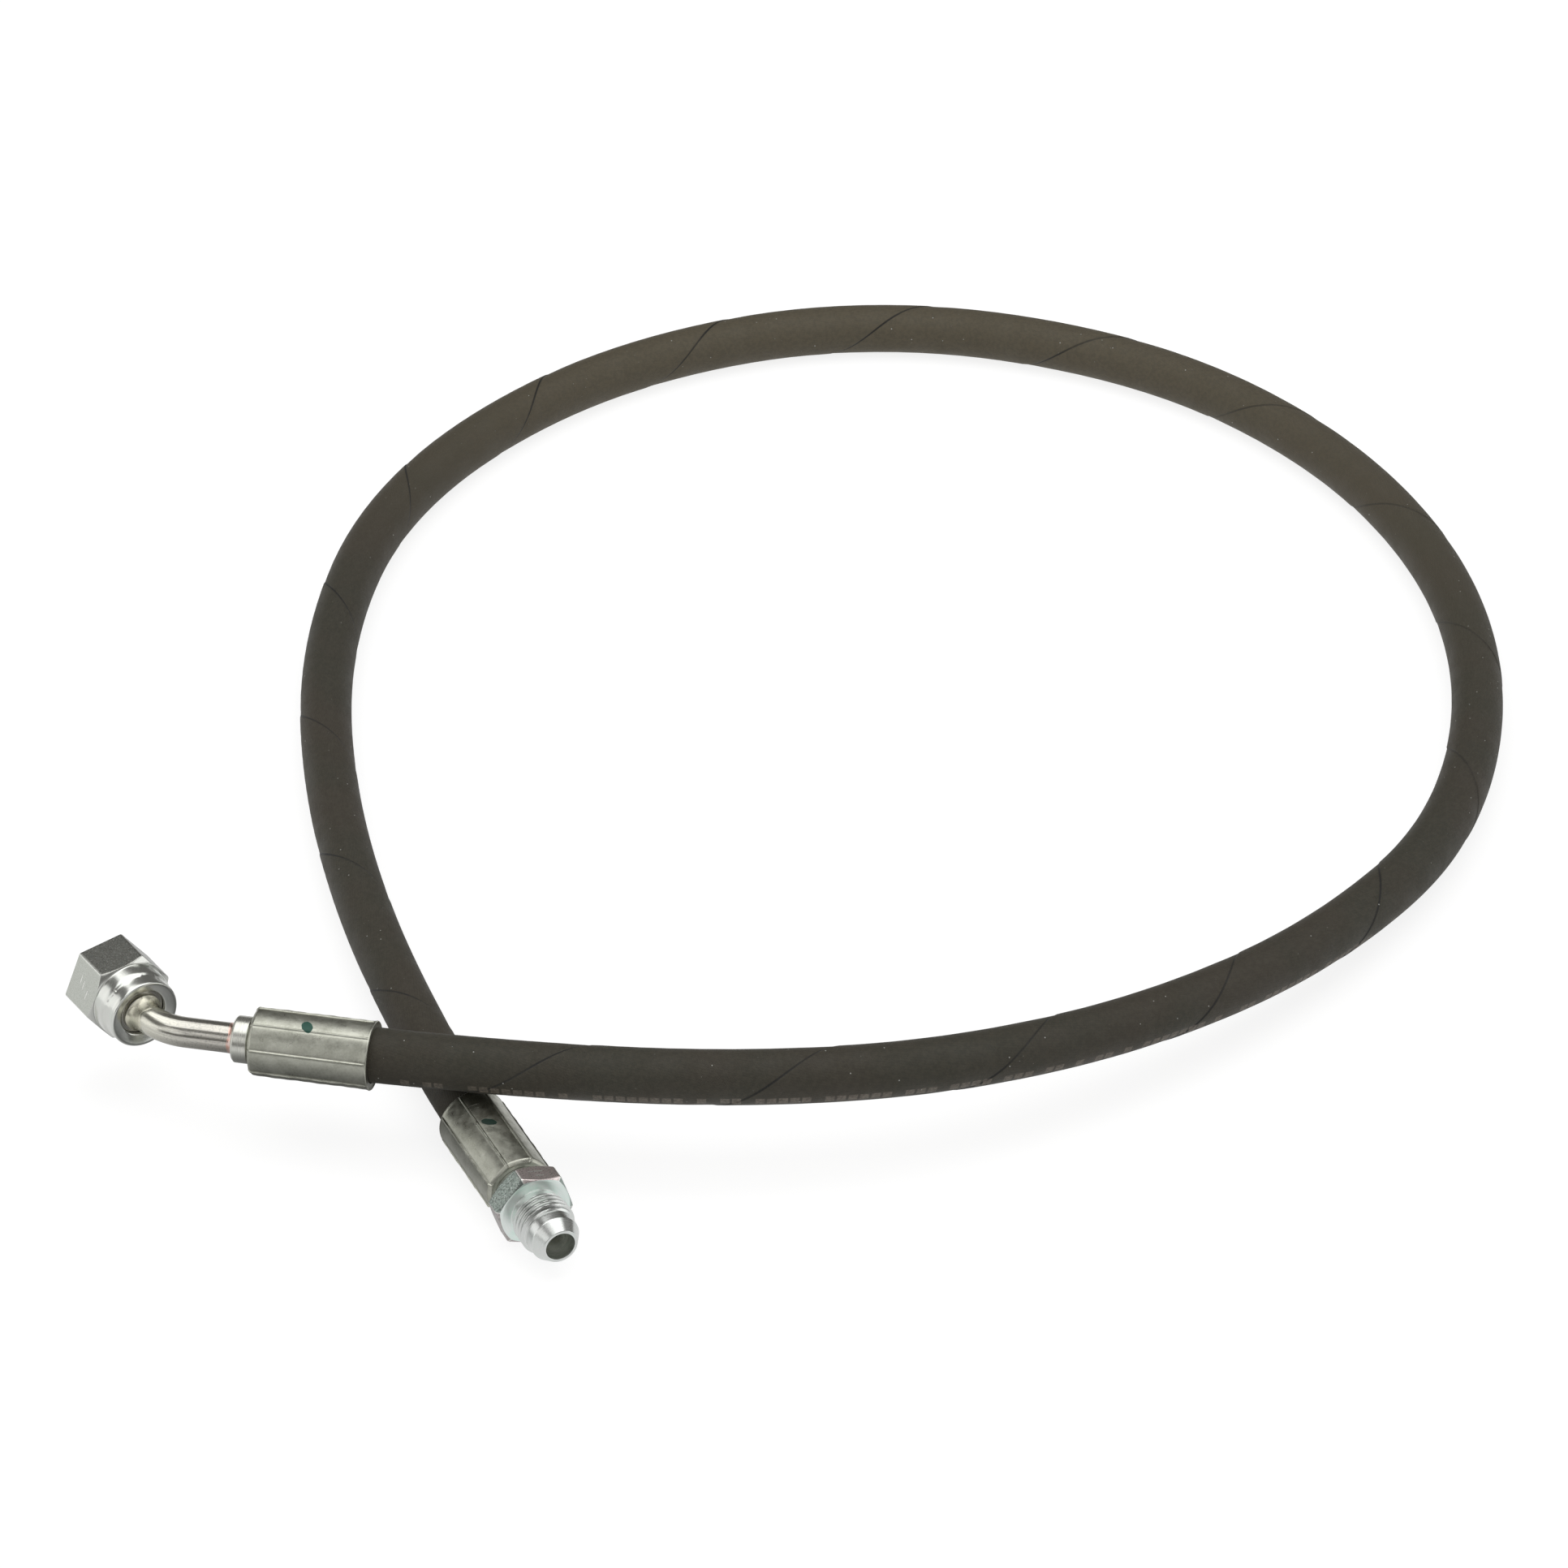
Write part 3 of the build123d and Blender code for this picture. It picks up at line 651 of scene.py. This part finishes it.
def thread_rows(degrees, start, end, crest, depth, pitch, step=0.075, chamfer=1.0, inside=False):
    """Rows over a helical thread, cut back at both ends by a chamfer."""
    crest_flat, flank = 0.16, 0.68              # shares of half a pitch
    rows = []
    count = int(round((end - start) / step))
    for index in range(count + 1):
        distance = start + (end - start) * index / count
        phase = (distance / pitch - degrees / 360.0) % 1.0
        from_crest = np.abs(phase - 0.5) * 2
        cut = np.clip((from_crest - crest_flat) / flank, 0, 1)
        cut = cut * (0.75 + 0.25 * cut * (3 - 2 * cut))
        from_end = min(abs(distance - start), abs(end - distance))
        limit = depth * max(0.0, 1 - from_end / chamfer)
        drop = np.maximum(cut * depth, limit)
        rows.append((distance, crest + drop if inside else crest - drop))
    return rows


# ---- the hose: its line is the route's NURBS spline ----
def hose_line():
    """Points along the NURBS spline of the hose's route."""
    curve = bpy.data.curves.new("hose_route", "CURVE")
    curve.dimensions = "3D"
    curve.resolution_u = 40
    spline = curve.splines.new("NURBS")
    spline.points.add(len(HOSE_ROUTE) - 1)
    for point, place in zip(spline.points, HOSE_ROUTE):
        point.co = (*place, 1.0)
    spline.order_u = 3
    spline.use_endpoint_u = True
    holder = bpy.data.objects.new("hose_route", curve)
    bpy.context.scene.collection.objects.link(holder)
    bpy.context.view_layer.update()
    line = bpy.data.meshes.new_from_object(holder)
    points = np.array([vertex.co for vertex in line.vertices])
    bpy.data.objects.remove(holder)
    return points


def build_hose_layer(name, line, outer, inner, material, wrapped=False):
    """A tube along the hose's line. Its columns follow the wrap's seam round the hose."""
    ahead = np.gradient(line, axis=0)
    ahead /= np.linalg.norm(ahead, axis=1)[:, None]
    right = np.cross(ahead, (0.0, 0.0, 1.0))
    right /= np.linalg.norm(right, axis=1)[:, None]
    up = np.cross(right, ahead)
    steps = np.linalg.norm(np.diff(line, axis=0), axis=1)
    along = np.concatenate([[0.0], np.cumsum(steps)]) / MM
    if wrapped:
        seam = [0.0, 0.004, 0.009, 0.016, 0.028]
        turns = np.array(seam + list(np.linspace(0.05, 0.95, 37)) + [1 - t for t in seam[:0:-1]])
    else:
        turns = np.arange(24) / 24.0
    drift = WRAP_DRIFT * np.cos(2 * np.pi * (along - WRAP_DRIFT_PEAK) / WRAP_DRIFT_PERIOD)
    phase = turns[None, :] + (WRAP_START - (along - drift) / WRAP_PITCH)[:, None]
    round_up = np.cos(2 * np.pi * phase)[..., None]
    round_side = np.sin(2 * np.pi * phase)[..., None]
    direction = round_up * up[:, None] + round_side * right[:, None]
    radius = outer
    if wrapped:
        to_seam = np.minimum(turns, 1 - turns)
        groove = np.clip(1 - to_seam / SEAM_HALF, 0, 1)
        valley = np.clip(turns / SEAM_HALF, 0, 1) * np.clip(1 - turns / 0.17, 0, 1) ** 1.5
        swell = np.clip((1 - turns) / SEAM_HALF, 0, 1) * np.exp(-((1 - turns) / 0.11) ** 2)
        shape = WRAP_SWELL * swell - WRAP_VALLEY * valley - WRAP_GROOVE * groove - WRAP_SUNK
        # the two ends of the hose are held in the ferrules, where the wrap is pressed flat
        from_end = np.minimum(along, along[-1] - along)
        free = np.clip((from_end - 28.0) / 6.0, 0, 1)
        radius = outer + free[:, None] * shape[None, :] * MM
    radius = np.broadcast_to(radius, phase.shape)
    outside = line[:, None] + radius[..., None] * direction
    inside = line[::-1, None] + inner * direction[::-1]
    grid = np.concatenate([outside, inside])
    wall = (outer - inner) / MM
    u = np.concatenate([along, along[-1] + wall + along[-1] - along[::-1]])
    u = np.append(u, u[-1] + wall)
    v = np.append(turns, 1.0)
    return build_closed(name, grid, u, v, [material])


line = hose_line()
hose = build_hose_layer(
    "hose_wrapped_cover", line, HOSE_DIAMETER / 2, COVER_INSIDE, hose_rubber(), wrapped=True,
)
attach(hose, "hose_and_fittings")
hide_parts("hose_cover")

inner_line = line[::2] if len(line) % 2 else np.concatenate([line[::2], line[-1:]])
for piece_name, node, slot, outer, inner, material in (
    ("hose_outer_braid_layer", "hose_outer_wire_braid", "wire_braid",
     COVER_INSIDE, OUTER_BRAID_INSIDE, braided_wire("outer_braid_wire")),
    ("hose_interlayer_rubber", "hose_braid_interlayer", "hose_liner",
     OUTER_BRAID_INSIDE, INTERLAYER_INSIDE, liner_rubber("interlayer_rubber")),
    ("hose_inner_braid_layer", "hose_inner_wire_braid", "wire_braid",
     INTERLAYER_INSIDE, INNER_BRAID_INSIDE, braided_wire("inner_braid_wire")),
    ("hose_liner_tube", "hose_inner_tube", "hose_liner",
     INNER_BRAID_INSIDE, LINER_INSIDE, liner_rubber("liner_rubber")),
):
    layer = build_hose_layer(piece_name, inner_line, outer, inner, material)
    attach(layer, "hose_and_fittings")
    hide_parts(node)


# ---- ferrules ----
JAWS = 8
JAW_STEP = 360.0 / JAWS
JAW_RADIUS, JAW_SHIFT = 12.5, -4.33         # a jaw's face is flatter than the ferrule is round
RIB_SIDE = [0.5, 1.2, 1.8, 2.4, 3.0, 4.0, 6.0, 9.0, 14.0]
RIB_COLUMNS = [-offset for offset in reversed(RIB_SIDE)] + RIB_SIDE + [18.0, 22.5, 27.0]


def build_ferrule(name, node, mouth, heading, rib_angle, material):
    """Crimped ferrule: eight jaw marks with a raised rib between each two."""
    ribs = rib_angle + JAW_STEP * np.arange(JAWS)
    degrees = np.sort(np.add.outer(ribs, RIB_COLUMNS).ravel())
    from_rib = np.abs((degrees - rib_angle + JAW_STEP / 2) % JAW_STEP - JAW_STEP / 2)
    from_middle = np.radians(JAW_STEP / 2 - from_rib)
    hollow = np.sqrt(JAW_RADIUS ** 2 - (JAW_SHIFT * np.sin(from_middle)) ** 2)
    facet = JAW_SHIFT * np.cos(from_middle) + hollow
    jaw = np.round((degrees - rib_angle) / JAW_STEP)
    rib = np.clip((1.8 - from_rib) / 1.2, 0, 1)
    gutter = np.exp(-((from_rib - 2.4) / 0.6) ** 2)
    rows = [(0.05, 8.1), (0.0, 8.2), (0.02, 8.32), (0.12, 8.42), (0.26, 8.45)]
    for distance in [0.5, 0.8, 1.2, 1.7, *np.arange(2.3, 28.2, 0.7), 28.35, 28.55]:
        pressed = 1 - np.exp(-distance / 0.9)
        quick = 0.25 * np.sin(distance * 1.7 + jaw * 2.1)
        slow = 0.25 * np.sin(distance * 0.61 + jaw * 1.3)
        height = 0.20 + 0.14 * (0.5 + quick + slow)
        body = facet + rib * height - gutter * 0.05
        rows.append((distance, 8.48 * (1 - pressed) + body * pressed))
    end_facet = rows[-1][1]
    rows += [
        (28.72, end_facet - 0.02),
        (28.85, end_facet - 0.10),
        (29.2, end_facet - 0.42),
        (29.38, end_facet - 0.62),
        (29.47, 7.45),
        (29.5, 7.3), (29.5, 7.0), (29.5, 4.9), (29.5, 4.55), (29.45, 4.5), (29.2, 4.5),
        (26.7, 4.5), (26.6, 4.55), (26.6, 4.8), (26.6, 6.5), (26.55, 6.68), (26.3, 6.7),
        (0.4, 6.7), (0.1, 6.74),
    ]
    piece = turned_piece(name, mouth, heading, rows, degrees, [material])
    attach(piece, "hose_and_fittings")
    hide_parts(node)


build_ferrule(
    "ferrule_male_crimped", "male_ferrule", MALE_MOUTH, MALE_HEADING, 21.5,
    ferrule_zinc(
        "ferrule_zinc_male", (12.6, 0.009, 1.30, 0.032, 24.0), (0.005, 0.018, 0.012),
        [
            (5.2, 0.035, 0.22, 0.035), (6.4, 0.035, 0.20, 0.022), (6.0, 0.125, 0.2, 0.03),
            (19.0, 0.138, 1.6, 0.004),
        ],
    ),
)
build_ferrule(
    "ferrule_elbow_crimped", "elbow_ferrule", ELBOW_MOUTH, ELBOW_HEADING, -24.7,
    ferrule_zinc(
        "ferrule_zinc_elbow", (15.9, -0.044, 1.35, 0.033, -14.0), (0.006, 0.060, 0.040),
        [(4.0, -0.03, 0.9, 0.006), (5.2, -0.12, 0.4, 0.010), (5.0, -0.20, 0.45, 0.008)],
    ),
)


# ---- male end ----
def nipple_rows():
    """The barbed tail inside the hose, from its tip up to the ferrule's end wall."""
    barbs = []
    for barb in range(5):
        foot = 3.5 + barb * 3.8
        barbs += [(foot, 3.3), (foot + 2.0, 3.5), (foot + 2.2, 3.3)]
    return [(2.5, 2.6), (2.6, 2.85), *barbs, (26.2, 3.3), (26.4, 3.4), (26.4, 4.3), (26.5, 4.5)]


def build_male_stem():
    """Columns, rows and bands of the male end: 0 bright, 1 facets, 2 front face, 3 bore."""
    degrees = hex_columns(MALE_CORNER)
    tail = nipple_rows() + [
        (29.3, 4.5), (29.5, 4.6), (29.5, 6.2), (29.6, 6.38), (29.9, 6.4), (32.7, 6.4),
        (32.88, 6.44), (32.9, 6.6),
    ]
    hexagon = hex_rows(degrees, *MALE_HEXAGON, MALE_CORNER)
    relief = [(38.6, 6.35), (38.62, 6.2), (38.72, 6.05), (38.95, 6.0), (40.3, 6.0), (40.5, 6.0)]
    thread = thread_rows(degrees, *MALE_THREAD, chamfer=0.85)
    nose = eased([
        (47.1, 5.9), (47.2, 6.02), (47.9, 6.1), (50.25, 6.1), (53.4, 4.35), (53.4, 3.65),
        (44.4, 3.65), (42.9, NIPPLE_BORE_RADIUS), (2.5, NIPPLE_BORE_RADIUS), (2.5, 2.6),
    ], 0.16)[7:-7]
    rows = tail + hexagon + relief + thread + nose
    hex_start = len(tail)
    face_start = hex_start + len(hexagon) - 5
    bore_start = 2 + max(index for index, row in enumerate(rows) if np.max(row[0]) > 53.0)
    bands = np.zeros(len(rows), int)
    bands[hex_start + 2:face_start + 1] = 1
    bands[face_start + 1:face_start + 6] = 2
    bands[bore_start:] = 3
    return degrees, rows, bands


male_degrees, male_rows, male_bands = build_male_stem()
distance, reach, run = along_outline(male_rows)
on_thread = run[(distance > 40.8) & (distance < 46.4) & (reach > 5.0)]
on_hexagon = run[(distance > 34.0) & (distance < 37.5) & (reach > 8.0)].mean()
male_stem = turned_piece(
    "stem_male_threaded", MALE_MOUTH, MALE_HEADING, male_rows, male_degrees,
    [
        bright_turned(
            "male_bright_zinc", (0.80, 0.82, 0.80), 0.27,
            thread=(MALE_MOUTH, MALE_HEADING, *MALE_GROOVE_SHADE, on_thread.min(), on_thread.max()),
        ),
        hex_facets(
            "male_hex_zinc",
            # facet tones, partly painted light: the last, top facet is painted bright for the light
            # it catches
            [
                (0.30, 0.35, 0.32), (0.50, 0.46, 0.45), (0.55, 0.50, 0.50),
                (0.45, 0.48, 0.46), (0.36, 0.42, 0.39), (0.93, 0.82, 0.80),
            ],
            MALE_CORNER / 360.0, (0.70, 0.4, 0.3, 0.3, 0.3, 0.30), 0.32,
            [
                (on_hexagon - 0.8, -0.030, 0.20, 0.032),
                (on_hexagon + 0.9, -0.038, 0.22, 0.020),
            ],
        ),
        washer_face(),
        dull_bore(),
    ],
    bands=male_bands,
)
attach(male_stem, "hose_and_fittings")
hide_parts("male_stem")


# ---- elbow end ----
collar_rows = nipple_rows() + eased([
    (26.5, 4.5), (30.3, 4.5), (30.3, 5.7), (33.75, 5.7), (34.3, 5.15), (34.3, TUBE_RADIUS),
    (31.7, TUBE_RADIUS), (31.7, NIPPLE_BORE_RADIUS), (2.5, NIPPLE_BORE_RADIUS), (2.5, 2.6),
], 0.14)[7:-7]
elbow_stem = turned_piece(
    "stem_elbow_collar", ELBOW_MOUTH, ELBOW_HEADING, collar_rows, even_columns(96),
    [bright_turned("collar_turned_zinc", (0.76, 0.76, 0.70), 0.27, 6.0, 0.012, 0.4)],
)
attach(elbow_stem, "hose_and_fittings")
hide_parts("elbow_stem")

BEND = (ELBOW_BEND_START, ELBOW_BEND_RADIUS, ELBOW_BEND)
tube_start, tube_end = 31.7, NUT_BACK + 4.0
outside = np.linspace(tube_start + 0.15, tube_end - 0.15, 64)
inside = np.linspace(tube_end - 0.1, tube_start + 0.1, 32)
tube_rows = [
    (tube_start, TUBE_RADIUS - 0.15),
    *((distance, TUBE_RADIUS) for distance in outside),
    (tube_end, TUBE_RADIUS - 0.15),
    (tube_end, TUBE_BORE_RADIUS + 0.1),
    *((distance, TUBE_BORE_RADIUS) for distance in inside),
    (tube_start, TUBE_BORE_RADIUS + 0.1),
]
elbow_tube = turned_piece(
    "tube_bent_bright", ELBOW_MOUTH, ELBOW_HEADING, tube_rows, even_columns(72),
    [drawn_tube()], bend=BEND,
)
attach(elbow_tube, "hose_and_fittings")
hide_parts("elbow_tube")


def build_braze(name, node, shoulder, outward, height, length, look, bend=None):
    """A fillet of braze that wets the shoulder and thins out along the tube."""
    degrees = even_columns(72)
    theta = np.radians(degrees)
    uneven = 1 + 0.10 * np.sin(3 * theta + 0.6) + 0.07 * np.sin(5 * theta + 2.0)
    rows = []
    for step in range(9):
        t = step / 8
        rise = height * (1 - t) ** 2 + 0.02
        away = length * t * (0.6 + 0.4 * t)
        rows.append((shoulder + outward * away * uneven, TUBE_RADIUS + rise * uneven))
    rows.append((shoulder + outward * (length + 0.05) * uneven, TUBE_RADIUS + 0.01))
    rows.append((shoulder, TUBE_RADIUS + 0.01))
    if outward < 0:
        rows = rows[::-1]
    piece = turned_piece(name, ELBOW_MOUTH, ELBOW_HEADING, rows, degrees, [look], bend=bend)
    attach(piece, "hose_and_fittings")
    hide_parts(node)


copper = fused_braze("copper_braze", rgb(0.74, 0.47, 0.39), rgb(0.84, 0.66, 0.60))
plated = fused_braze("plated_braze", rgb(0.70, 0.68, 0.56), rgb(0.73, 0.71, 0.59), 0.003)
build_braze("braze_fillet_collar", "stem_braze_ring", 34.3, 1, 0.62, 1.15, copper)
build_braze("braze_fillet_head", "head_braze_ring", NUT_BACK + 0.7, -1, 1.15, 3.4, plated, BEND)

SEAT_DEPTH = (5.6 - TUBE_BORE_RADIUS) / math.tan(math.radians(30))
head_rows = eased([
    (0.7, TUBE_RADIUS), (0.7, 4.9), (2.0, 4.9), (2.0, 6.8), (5.0, 6.8), (5.0, 6.1), (11.0, 6.1),
    (11.0, 5.6), (11.0 - SEAT_DEPTH, TUBE_BORE_RADIUS), (4.0, TUBE_BORE_RADIUS), (4.0, TUBE_RADIUS),
], 0.15)
swivel_head = turned_piece(
    "head_swivel_seat", ELBOW_MOUTH, ELBOW_HEADING, head_rows, even_columns(96),
    [bright_turned("head_turned_steel", (0.66, 0.64, 0.58), 0.24, 8.0)], bend=BEND, shift=NUT_BACK,
)
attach(swivel_head, "hose_and_fittings")
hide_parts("swivel_head")


def build_swivel_nut():
    """Columns, rows and bands of the nut: 0 bright, 1 facets."""
    degrees = hex_columns(NUT_CORNER)
    # short soft ticks round the skirt's step
    from_tick = (degrees - NUT_CORNER - 8.0) % 24.0 - 12.0
    tick = np.exp(-(from_tick / 1.5) ** 2)
    back = [
        (0.95, 5.98), (0.85, 6.05), (0.70, 6.4), (0.38, 7.2), (0.10, 7.95), (0.02, 8.25),
        (0.0, 8.45), (0.03, 8.62), (0.12, 8.76), (0.28, 8.84), (0.5, 8.88),
    ]
    skirt = [
        (1.0, 8.92), (2.0, 8.95), (2.6, 8.96), (2.9, 8.98 + 0.03 * tick),
        (3.2, 9.00 + 0.10 * tick), (3.4, 9.03 + 0.16 * tick), (3.55, 9.08 + 0.15 * tick),
        (3.7, 9.16 + 0.12 * tick), (3.9, 9.26 + 0.06 * tick), (4.1, 9.35), (4.3, 9.42),
        (5.0, 9.48), (6.2, 9.55), (7.2, 9.60), (7.5, 9.62), (7.62, 9.66), (7.68, 9.74),
    ]
    hexagon = hex_rows(degrees, *NUT_HEXAGON, NUT_CORNER, inset=0.10, front_inset=1.0)
    front = [(19.2, 8.6), (19.2, 7.5), (19.18, 7.3), (19.1, 7.2), (18.9, 7.0), (18.6, 6.7)]
    thread = thread_rows(degrees, *NUT_THREAD, step=-0.1, inside=True)
    cavity = eased([
        (11.4, 6.2), (11.3, 6.45), (5.4, 6.45), (5.4, 7.1), (1.6, 7.1), (1.7, 5.95),
        (0.95, 5.95), (0.7, 6.4),
    ], 0.15)[7:-7]
    rows = back + skirt + hexagon + front + thread + cavity
    bands = np.zeros(len(rows), int)
    first = len(back) + len(skirt)
    bands[first + 5:first + len(hexagon) - 4] = 1
    return degrees, rows, bands


nut_degrees, nut_rows, nut_bands = build_swivel_nut()
distance, reach, run = along_outline(nut_rows)
on_hexagon = run[(distance > 10.0) & (distance < 17.0) & (reach > 10.0)].mean()
nut = turned_piece(
    "nut_swivel_hexagon", ELBOW_MOUTH, ELBOW_HEADING, nut_rows, nut_degrees,
    [
        bright_turned("nut_bright_zinc", (0.78, 0.79, 0.75), 0.21, 5.0, 0.004, 0.20),
        hex_facets(
            "nut_hex_zinc",
            # facet tones, partly painted light: lighter or darker by how each facet faces the light
            [
                (0.36, 0.36, 0.33), (0.50, 0.51, 0.48), (0.52, 0.53, 0.50),
                (0.48, 0.49, 0.46), (0.50, 0.52, 0.48), (0.60, 0.62, 0.57),
            ],
            NUT_CORNER / 360.0, (0.70, 0.4, 0.4, 0.4, 0.3, 0.12), 0.30,
            [
                (on_hexagon + step, -0.185 + 0.01 * step, 0.14, 0.022)
                for step in (-2.0, 0.1, 1.6)
            ],
        ),
    ],
    bend=BEND, shift=NUT_BACK, bands=nut_bands,
)
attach(nut, "swivel_nut")
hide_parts("swivel_nut")


# ---- stage: camera, floor and studio light ----
def seen_or_lit(tree, seen, lit):
    """One shader for what the camera sees, another for the light that reaches the object."""
    mix = tree.nodes.new("ShaderNodeMixShader")
    path = tree.nodes.new("ShaderNodeLightPath")
    tree.links.new(path.outputs["Is Camera Ray"], mix.inputs[0])
    tree.links.new(lit, mix.inputs[1])
    tree.links.new(seen, mix.inputs[2])
    return mix.outputs[0]


def build_floor():
    """A pale floor. The object is lit by it as by a table that is darker under the elbow."""
    mesh = bpy.data.meshes.new("studio_floor")
    corners = [(x * FLOOR_HALF, y * FLOOR_HALF, 0) for x, y in ((-1, -1), (1, -1), (1, 1), (-1, 1))]
    mesh.from_pydata(corners, [], [(0, 1, 2, 3)])
    floor = bpy.data.objects.new("studio_floor", mesh)
    bpy.context.scene.collection.objects.link(floor)
    material = bpy.data.materials.new("floor_white")
    material.use_nodes = True
    tree = material.node_tree
    seen = tree.nodes["Principled BSDF"]
    seen.inputs["Base Color"].default_value = rgb(0.30, 0.30, 0.30)
    seen.inputs["Roughness"].default_value = 0.9
    seen.inputs["Specular IOR Level"].default_value = 0.0
    seen.inputs["Emission Color"].default_value = rgb(1.0, 1.0, 1.0)
    seen.inputs["Emission Strength"].default_value = 0.82
    place = tree.nodes.new("ShaderNodeTexCoord")
    away = tree.nodes.new("ShaderNodeVectorMath")
    away.operation = "DISTANCE"
    tree.links.new(place.outputs["Object"], away.inputs[0])
    away.inputs[1].default_value = SHADE_CENTRE
    slope = tree.nodes.new("ShaderNodeMapRange")
    tree.links.new(away.outputs["Value"], slope.inputs[0])
    for socket, number in zip(slope.inputs[1:], (*SHADE_REACH, SHADED_FLOOR, OPEN_FLOOR)):
        socket.default_value = number
    lit = tree.nodes.new("ShaderNodeEmission")
    tree.links.new(slope.outputs[0], lit.inputs["Strength"])
    output = tree.nodes["Material Output"]
    tree.links.new(seen_or_lit(tree, seen.outputs[0], lit.outputs[0]), output.inputs[0])
    mesh.materials.append(material)


def add_softbox(name, place, target, size, radiance):
    """A rectangular light of a given brightness as seen in a reflection."""
    light = bpy.data.lights.new(name, "AREA")
    light.shape = "RECTANGLE"
    light.size, light.size_y = size
    light.energy = radiance * math.pi * size[0] * size[1]
    lamp = bpy.data.objects.new(name, light)
    lamp.location = place
    lamp.rotation_euler = (Vector(target) - Vector(place)).to_track_quat("-Z", "Y").to_euler()
    bpy.context.scene.collection.objects.link(lamp)


def build_world():
    """White to the camera, and a weak warm light all round."""
    world = bpy.data.worlds.new("studio")
    world.use_nodes = True
    tree = world.node_tree
    seen = tree.nodes["Background"]
    seen.inputs["Color"].default_value = rgb(1.0, 1.0, 1.0)
    seen.inputs["Strength"].default_value = 1.1
    lit = tree.nodes.new("ShaderNodeBackground")
    lit.inputs["Color"].default_value = rgb(1.0, 0.98, 0.94)
    lit.inputs["Strength"].default_value = 0.13
    output = tree.nodes["World Output"]
    tree.links.new(seen_or_lit(tree, seen.outputs[0], lit.outputs[0]), output.inputs[0])
    bpy.context.scene.world = world


build_floor()
build_world()
add_softbox("overhead_softbox", (0.10, 0.36, 1.5), (0.10, 0.3599, 0.0), (2.4, 1.65), 1.45)
add_softbox("left_softbox", (-1.6, 0.0, 0.45), (0.0, 0.0, 0.1), (2.0, 0.9), 0.95)
add_softbox("left_front_softbox", (-1.5, -1.6, 1.3), (0.0, 0.0, 0.0), (1.3, 1.3), 0.85)
add_softbox("front_softbox", (0.3, -2.0, 2.15), (0.05, 0.0, 0.0), (2.2, 2.6), 0.70)
add_softbox("right_softbox", (1.9, -0.2, 0.5), (0.1, 0.0, 0.1), (1.6, 1.0), 1.10)

scene = bpy.context.scene
scene.view_settings.view_transform = "Standard"
camera_data = bpy.data.cameras.new("camera")
camera_data.lens = CAMERA_LENS
camera_data.sensor_width = CAMERA_SENSOR
camera_data.clip_start = 0.05
camera_data.clip_end = 50.0
camera = bpy.data.objects.new("camera", camera_data)
camera.location = CAMERA_PLACE
camera.rotation_euler = (math.radians(CAMERA_TILT), 0.0, 0.0)
scene.collection.objects.link(camera)
scene.camera = camera
